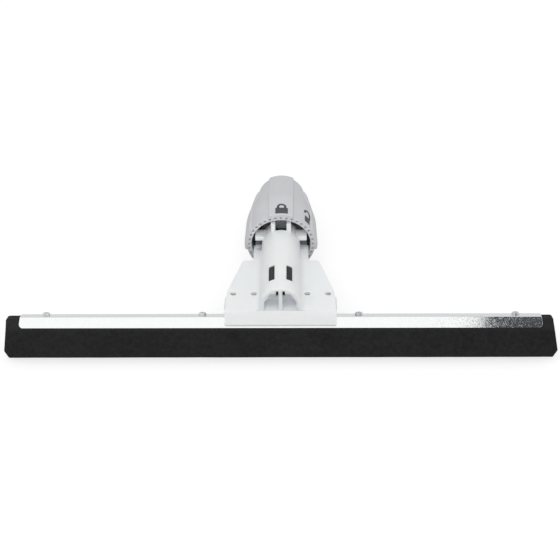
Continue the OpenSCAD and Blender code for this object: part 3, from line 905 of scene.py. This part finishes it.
@dataclass
class Blades:
    """The two foam strips and the bar between them."""

    left_corner: float = 2.8 * MM
    right_corner: float = 2.6 * MM
    low_corner: float = 0.9 * MM
    edge_round: float = 0.7 * MM
    corner_steps: int = 6
    edge_steps: int = 3
    cell: float = 3.0 * MM
    unevenness: float = 0.3 * MM
    ripple: float = 26.0
    fine_ripple: float = 7.0
    ripple_share: float = 0.35
    fine_share: float = 0.15
    through_cosine: float = 0.99

    def build(self, bench: Bench) -> None:
        """Add the strips and dress the bar.

        Args:
            bench: The loaded frame.
        """
        sheet = bench.frame["nodes"]["channel"].data.vertices
        flange_end = min(vert.co.dot(bench.blade.up) for vert in sheet)
        # The foam's band of painted light starts at the channel's lower edge.
        foam = replace(FOAM, up=bench.blade.up, lit_band_from=flange_end)
        for node in ("front_blade", "rear_blade"):
            shape = self._slab(bench, node)
            self._round_corners(bench, shape)
            EdgeRounder(shape, self.edge_round, self.edge_steps).run()
            self._slice(bench, shape)
            self._ruffle(shape)
            bench.stand_for(shape, f"{node}_foam", node, foam)
        bench.dress("core_bar", CORE)

    @staticmethod
    def _slab(bench: Bench, node: str) -> bmesh.types.BMesh:
        """Extrude a strip's whole outline, which is its largest face, through its thickness.

        Args:
            bench: The loaded frame.
            node: The strip's node.

        Returns:
            The strip with sharp edges.
        """
        shape = bench.copy_of(node)
        limit = math.radians(bench.flat_deg)
        bmesh.ops.dissolve_limit(shape, angle_limit=limit, verts=shape.verts, edges=shape.edges)
        depths = [vert.co.dot(bench.blade.back) for vert in shape.verts]
        outline = max(shape.faces, key=lambda face: face.calc_area())
        rest = [face for face in shape.faces if face is not outline]
        bmesh.ops.delete(shape, geom=rest, context="FACES")
        start = outline.calc_center_median().dot(bench.blade.back)
        reach = min(depths) + max(depths) - 2.0 * start
        grown = bmesh.ops.extrude_face_region(shape, geom=[outline], use_keep_orig=True)["geom"]
        moved = [part for part in grown if isinstance(part, bmesh.types.BMVert)]
        bmesh.ops.translate(shape, verts=moved, vec=bench.blade.back * reach)
        bmesh.ops.remove_doubles(shape, verts=shape.verts, dist=bench.merge_gap)
        bmesh.ops.recalc_face_normals(shape, faces=shape.faces)
        return shape

    def _round_corners(self, bench: Bench, shape: bmesh.types.BMesh) -> None:
        """Round the corners of a strip's outline.

        Args:
            bench: The loaded frame.
            shape: The strip, which is changed.
        """
        tops = max(vert.co.dot(bench.blade.up) for vert in shape.verts)

        def corner_edges(high: bool, side: float) -> list[bmesh.types.BMEdge]:
            """Find the edges through the thickness at some corners of one end.

            Args:
                high: Whether the high corners are meant.
                side: Sign of x at that end.

            Returns:
                The edges.
            """
            found = []
            for edge in shape.edges:
                first, last = (vert.co for vert in edge.verts)
                middle = (first + last) / 2.0
                way = (last - first).normalized()
                through = abs(way.dot(bench.blade.back)) > self.through_cosine
                is_high = tops - middle.dot(bench.blade.up) < MM
                if through and is_high == high and middle.x * side > 0.0:
                    found.append(edge)
            return found

        for high, side, radius in (
            (True, -1.0, self.left_corner),
            (True, 1.0, self.right_corner),
            (False, -1.0, self.low_corner),
            (False, 1.0, self.low_corner),
        ):
            round_edges(shape, corner_edges(high, side), radius, self.corner_steps)

    def _slice(self, bench: Bench, shape: bmesh.types.BMesh) -> None:
        """Cut a strip's faces into cells along its length and its height.

        Args:
            bench: The loaded frame.
            shape: The strip, which is changed.
        """
        for way in (bench.blade.right, bench.blade.up):
            places = [vert.co.dot(way) for vert in shape.verts]
            low, high = min(places), max(places)
            slice_along(shape, way, low, high, int((high - low) / self.cell))

    def _ruffle(self, shape: bmesh.types.BMesh) -> None:
        """Sink a strip's skin a little and unevenly, as cut foam has it.

        Args:
            shape: The strip, which is changed.
        """
        shape.normal_update()
        sunk = []
        for vert in shape.verts:
            broad = noise.noise(vert.co * self.ripple)
            fine = noise.noise(vert.co * self.ripple * self.fine_ripple)
            share = 0.5 + self.ripple_share * broad + self.fine_share * fine
            sunk.append((vert, vert.co - vert.normal * (self.unevenness * share)))
        for vert, place in sunk:
            vert.co = place


@dataclass
class Channel:
    """The zinc-plated channel and its pan-head screws."""

    sheet_edge: float = 0.3 * MM
    head_edge: float = 0.16 * MM

    def build(self, bench: Bench) -> None:
        """Add the channel and its screws."""
        bench.soft_copy("channel", "channel_sheet", ZINC, self.sheet_edge, segments=3)
        bench.soft_copy("channel_screws", "channel_pan_heads", SCREW, self.head_edge)


@dataclass
class Bracket:
    """The socket moulding with the near-black plug behind its windows, what clamps it to the channel and
    its sleeve's ring.
    """

    mould_edge: float = 0.35 * MM
    plug_edge: float = 0.3 * MM
    bar_edge: float = 0.6 * MM
    screw_edge: float = 0.15 * MM
    ring_edge: float = 0.12 * MM

    def build(self, bench: Bench) -> None:
        """Add the moulding and its metal parts.

        Args:
            bench: The loaded frame.
        """
        bench.soft_copy("socket_bracket", "bracket_moulding", BRACKET, self.mould_edge, segments=3)
        bench.soft_copy("stop_plug", "window_plug", PLUG, self.plug_edge)
        bench.soft_copy("rear_clamp_bar", "clamp_wedge_bar", CLAMP, self.bar_edge, segments=3)
        bench.soft_copy("clamp_screws", "clamp_bolts", BOLT, self.screw_edge)
        bench.soft_copy("clamp_nuts", "clamp_hex_nuts", SCREW, self.screw_edge)
        bench.soft_copy("retaining_ring", "snap_ring", SPRING, self.ring_edge)


@dataclass
class PadlockSign:
    """A flat padlock sign, drawn at its own origin and then laid on the collar."""

    state: Shackle
    width: float = 13.0 * MM
    body_height: float = 9.6 * MM
    corner: float = 0.8 * MM
    shackle_width: float = 7.4 * MM
    shackle_height: float = 5.6 * MM
    bar: float = 2.5 * MM
    open_lift: float = 4.0 * MM
    open_leg: float = 1.4 * MM
    rise: float = 0.1 * MM
    sink: float = 0.06 * MM
    cell: float = 0.8 * MM
    corner_steps: int = 4
    turn_steps: int = 18
    outside: float = 100.0 * MM

    def laid_on(self, bench: Bench, node: str, clock: float, start: float) -> bmesh.types.BMesh:
        """Lay the sign on a node's outside.

        Args:
            bench: The loaded frame.
            node: The node that carries the sign.
            clock: The sign's middle, in degrees from the top.
            start: Distance of its lower edge from the rim.

        Returns:
            The sign, which follows the surface.
        """
        shape = self._flat()
        carrier = bench.copy_of(node)
        bmesh.ops.triangulate(carrier, faces=carrier.faces)
        skin = BVHTree.FromBMesh(carrier)
        handle = bench.handle

        def surface(angle: float, distance: float) -> Vector:
            """Return the carrier's outer surface at an angle and a distance from the rim."""
            start_point = handle.point(angle, self.outside, distance)
            return skin.ray_cast(start_point, -handle.outwards(angle))[0]

        middle = surface(clock, start) - handle.point(clock, 0.0, start)
        for vert in shape.verts:
            across, up, lift = vert.co
            angle = clock + math.degrees(across / middle.length)
            vert.co = surface(angle, start + up) + handle.outwards(angle) * lift
        carrier.free()
        bmesh.ops.recalc_face_normals(shape, faces=shape.faces)
        return shape

    def _flat(self) -> bmesh.types.BMesh:
        """Draw the padlock flat.

        Returns:
            The sign, with its lower edge on y = 0 and its thickness along z.
        """
        shape = bmesh.new()
        self._body(shape)
        self._shackle(shape)
        bmesh.ops.recalc_face_normals(shape, faces=shape.faces)
        half = self.width / 2.0
        slice_along(shape, RIGHTWARDS, -half, half, int(self.width / self.cell))
        return shape

    def _body(self, shape: bmesh.types.BMesh) -> None:
        """Add the padlock's body, a plate with round corners.

        Args:
            shape: The sign, which is added to.
        """
        thick = self.rise + self.sink
        size = Matrix.Diagonal((self.width, self.body_height, thick, 1.0))
        place = Matrix.Translation((0.0, self.body_height / 2.0, thick / 2.0 - self.sink))
        made = bmesh.ops.create_cube(shape, size=1.0, matrix=place @ size)
        upright = []
        for edge in {edge for vert in made["verts"] for edge in vert.link_edges}:
            first, last = (vert.co for vert in edge.verts)
            if abs((last - first).z) > thick / 2.0:
                upright.append(edge)
        round_edges(shape, upright, self.corner, self.corner_steps)

    def _shackle(self, shape: bmesh.types.BMesh) -> None:
        """Add the padlock's shackle: a leg, a half turn and a second leg, which stops short when open.

        Args:
            shape: The sign, which is added to.
        """
        radius = (self.shackle_width - self.bar) / 2.0
        lift = self.open_lift if self.state is Shackle.OPEN else 0.0
        root = self.body_height - self.bar / 2.0
        straight = self.shackle_height - radius + lift
        low = [(x, root, z) for x in (radius, radius + self.bar) for z in (-self.sink, self.rise)]
        inner_low, inner_high, outer_low, outer_high = (shape.verts.new(spot) for spot in low)
        section = shape.faces.new((inner_low, outer_low, outer_high, inner_high))
        leg = self._grow(shape, section, Vector((0.0, straight, 0.0)))
        turned = bmesh.ops.spin(
            shape,
            geom=[leg, *leg.edges, *leg.verts],
            cent=Vector((0.0, root + straight, 0.0)),
            axis=UPWARDS,
            angle=math.pi,
            steps=self.turn_steps,
            use_merge=False,
        )
        end = next(part for part in turned["geom_last"] if isinstance(part, bmesh.types.BMFace))
        down = self.open_leg if self.state is Shackle.OPEN else straight
        self._grow(shape, end, Vector((0.0, -down, 0.0)))

    @staticmethod
    def _grow(shape: bmesh.types.BMesh, face: bmesh.types.BMFace, step: Vector) -> bmesh.types.BMFace:
        """Extrude one face.

        Args:
            shape: The shape, which is added to.
            face: The face.
            step: How far it is moved.

        Returns:
            The face at the end.
        """
        grown = bmesh.ops.extrude_discrete_faces(shape, faces=[face])["faces"][0]
        bmesh.ops.translate(shape, verts=grown.verts, vec=step)
        return grown


@dataclass
class LockCollar:
    """The twist collar with its cam plate and its two padlock signs."""

    shell_edge: float = 0.45 * MM
    cam_edge: float = 0.15 * MM
    closed_clock: float = 1.2
    open_clock: float = 50.3
    open_width: float = 7.6 * MM
    closed_start: float = 1.8 * MM
    open_start: float = 6.0 * MM

    def build(self, bench: Bench) -> None:
        """Add the collar's shell, its cam plate and its signs.

        Args:
            bench: The loaded frame.
        """
        bench.soft_copy("lock_collar", "collar_shell", COLLAR, self.shell_edge, segments=3)
        bench.soft_copy("cam_plate", "cam_ring", CAM, self.cam_edge)
        closed = PadlockSign(Shackle.CLOSED)
        opened = PadlockSign(Shackle.OPEN, width=self.open_width)
        for sign, clock, start in (
            (closed, self.closed_clock, self.closed_start),
            (opened, self.open_clock, self.open_start),
        ):
            shape = sign.laid_on(bench, "lock_collar", clock, start)
            bench.hang(shape, f"{sign.state.value}_padlock_sign", "collar", INK)


@dataclass
class JawSet:
    """The four jaws and their grip pads."""

    jaw_edge: float = 0.4 * MM
    pad_edge: float = 0.2 * MM

    def build(self, bench: Bench) -> None:
        """Add each jaw and its pad.

        Args:
            bench: The loaded frame.
        """
        for place in JawPlace:
            side = place.value
            bench.soft_copy(f"jaw_{side}", f"{side}_jaw", JAW, self.jaw_edge)
            bench.soft_copy(f"grip_pad_{side}", f"{side}_grip", GRIP, self.pad_edge)


@dataclass
class Lamp:
    """A square softbox that faces a point; gloss shows the white room in its place."""

    name: str
    place: Vector
    side: float
    power: float

    def build(self, target: Vector) -> None:
        """Add the softbox.

        Args:
            target: The point that it faces.
        """
        data = bpy.data.lights.new(self.name, "AREA")
        data.shape = "SQUARE"
        data.size = self.side
        data.energy = self.power
        lamp = new_object(self.name, data)
        lamp.location = self.place
        lamp.rotation_euler = (target - self.place).to_track_quat("-Z", "Y").to_euler()
        lamp.visible_glossy = False


@dataclass
class GlossCard:
    """A flat glowing card of an even tone that only gloss sees, so it paints a reflection."""

    name: str
    middle: Vector
    facing: Vector
    size: tuple[float, float]
    tone: Color

    def build(self) -> None:
        """Add the card to the stage."""
        shape = bmesh.new()
        bmesh.ops.create_grid(shape, x_segments=1, y_segments=1, size=0.5)
        turned = self.facing.to_track_quat("Z", "Y").to_matrix().to_4x4()
        sized = Matrix.Diagonal((*self.size, 1.0, 1.0))
        placed = Matrix.Translation(self.middle) @ turned @ sized
        bmesh.ops.transform(shape, matrix=placed, verts=shape.verts)
        material, tree = new_material(self.name)
        # The card glows in its tone, which is painted into reflections only.
        shine = {"Color": (*self.tone, 1.0), "Strength": 1.0}
        tree.surface(tree.node("ShaderNodeEmission", inputs=shine))
        card = mesh_object(shape, self.name, material)
        card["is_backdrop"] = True
        card.visible_camera = False
        card.visible_diffuse = False
        card.visible_shadow = False


@dataclass
class Studio:
    """Floor, light and camera of a plain white studio."""

    target: Vector = field(default_factory=lambda: Vector((0.0, 0.0, 0.04)))
    floor_side: float = 6.0
    floor_gap: float = 0.1 * MM
    floor_glow: float = 0.73
    floor_catch: float = 0.34
    floor_bounce: float = 0.4
    ambient: float = 0.5
    camera_aim: Vector = field(default_factory=lambda: Vector((-1.27 * MM, 0.33 * MM, 9.74 * MM)))
    camera_distance: float = 3.0
    camera_elevation: float = 47.02
    camera_azimuth: float = 0.82
    camera_roll: float = -0.72
    focal_pixels: float = 2896.8
    camera_far: float = 20.0
    # Painted reflection: a dark card, seen only in gloss, darkens the channel's right end.
    flag_from_x: float = 0.2165
    flag_size: tuple[float, float] = (0.16, 0.9)
    flag_reach: float = 0.2
    flag_elevation: float = 55.0
    dark_reflection_tone: Color = (0.07, 0.075, 0.08)
    # Painted shade: grey cards behind the channel, seen only in gloss, stand for the shaded floor in its
    # reflection.
    rear_size: tuple[float, float] = (0.7, 0.3)
    rear_lift: float = 0.3 * MM
    rear_height: float = 0.5
    shaded_floor_tone: Color = (0.68, 0.69, 0.7)
    lamps: tuple[Lamp, ...] = (
        Lamp("left_softbox", Vector((-1.3, -0.7, 1.3)), 1.2, 4.3),
        Lamp("right_softbox", Vector((1.4, -0.5, 1.0)), 1.0, 3.5),
        Lamp("front_softbox", Vector((-0.1, -1.25, 2.05)), 2.0, 19.5),
        Lamp("rear_softbox", Vector((0.0, 1.3, 2.0)), 1.4, 5.8),
    )

    def build(self) -> None:
        """Add the floor, the light and the camera."""
        self._world()
        self._floor()
        self._cards()
        for lamp in self.lamps:
            lamp.build(self.target)
        self._camera()

    @staticmethod
    def _seen(tree: ShaderTree) -> Wire:
        """Tell which rays show the background.

        Args:
            tree: The tree that asks.

        Returns:
            1 on rays from the camera, a gloss or a clear surface, and 0 elsewhere.
        """
        kinds = ("Is Camera Ray", "Is Glossy Ray", "Is Transmission Ray")
        camera, glossy, clear = (tree.node("ShaderNodeLightPath", output=kind) for kind in kinds)
        return camera.most(glossy).most(clear)

    def _world(self) -> None:
        """Make the background white where it is seen, and a plain soft light elsewhere."""
        world = bpy.data.worlds.new("studio")
        bpy.context.scene.world = world
        world.use_nodes = True
        tree = ShaderTree(world.node_tree)
        light = tree.node("ShaderNodeBackground", inputs={"Color": grey(1.0), "Strength": self.ambient})
        white = tree.node("ShaderNodeBackground", inputs={"Color": grey(1.0), "Strength": 1.0})
        mixed = tree.node("ShaderNodeMixShader", inputs={0: self._seen(tree), 1: light, 2: white})
        tree.surface(mixed, "ShaderNodeOutputWorld")

    def _floor(self) -> None:
        """Add a white floor that keeps the object's shadow."""
        shape = bmesh.new()
        place = Matrix.Translation((0.0, 0.0, -self.floor_gap))
        half = self.floor_side / 2.0
        bmesh.ops.create_grid(shape, x_segments=1, y_segments=1, size=half, matrix=place)
        material, tree = new_material("studio_floor")
        plain = tree.node("ShaderNodeBsdfDiffuse", inputs={"Color": grey(self.floor_bounce)})
        shadow = tree.node("ShaderNodeBsdfDiffuse", inputs={"Color": grey(self.floor_catch)})
        glow = tree.node("ShaderNodeEmission", inputs={"Strength": self.floor_glow})
        lit = tree.node("ShaderNodeAddShader", inputs={0: shadow, 1: glow})
        tree.surface(tree.node("ShaderNodeMixShader", inputs={0: self._seen(tree), 1: plain, 2: lit}))
        floor = mesh_object(shape, "floor", material)
        floor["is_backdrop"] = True

    def _cards(self) -> None:
        """Add cards that only gloss sees: a dark one that paints a dark reflection on the channel's right
        end, and two grey ones behind it that paint shade of the floor into the channel's reflection.
        """
        low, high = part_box("channel")
        ahead = math.radians(self.flag_elevation)
        way = Vector((0.0, -math.cos(ahead), math.sin(ahead)))
        front = Vector((self.flag_from_x + self.flag_size[0] / 2.0, low.y, (low.z + high.z) / 2.0))
        # Painted reflection on the channel's right end.
        GlossCard("painted_dark_reflection", front + way * self.flag_reach, way, self.flag_size, self.dark_reflection_tone).build()
        wide, deep = self.rear_size
        lying = Vector((0.0, high.y + deep / 2.0, self.rear_lift))
        standing = Vector((0.0, high.y + deep, self.rear_lift + self.rear_height / 2.0))
        towards = Vector((0.0, -1.0, 0.0))
        upright = (wide, self.rear_height)
        # Painted shade of the floor behind the channel, seen only in its reflection.
        GlossCard("lying_shade_card", lying, UPWARDS, self.rear_size, self.shaded_floor_tone).build()
        GlossCard("standing_shade_card", standing, towards, upright, self.shaded_floor_tone).build()

    def _camera(self) -> None:
        """Add the camera at the photograph's viewing angle."""
        data = bpy.data.cameras.new("camera")
        data.sensor_fit = "HORIZONTAL"
        data.lens = self.focal_pixels / IMAGE_SIDE * data.sensor_width
        data.clip_end = self.camera_far
        up_angle = math.radians(self.camera_elevation)
        turn = math.radians(self.camera_azimuth)
        flat = math.cos(up_angle)
        back = Vector((math.sin(turn) * flat, -math.cos(turn) * flat, math.sin(up_angle)))
        right = Vector((math.cos(turn), math.sin(turn), 0.0))
        up = back.cross(right)
        axes = Matrix((right, up, back)).transposed()
        roll = Matrix.Rotation(math.radians(self.camera_roll), 3, "Z")
        place = self.camera_aim + back * self.camera_distance
        camera = new_object("camera", data)
        camera.matrix_world = Matrix.Translation(place) @ (axes @ roll).to_4x4()
        bpy.context.scene.camera = camera


def write_sizes() -> None:
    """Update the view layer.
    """
    bpy.context.view_layer.update()


def main() -> None:
    """Load the frame, build each sub-assembly and set the studio."""
    logging.basicConfig(level=logging.INFO, format="%(name)s: %(message)s")
    bench = Bench()
    bpy.context.scene.view_settings.view_transform = "Standard"
    Studio().build()
    for assembly in (Blades(), Channel(), Bracket(), LockCollar(), JawSet()):
        assembly.build(bench)
    write_sizes()


if __name__ == "__main__":
    main()
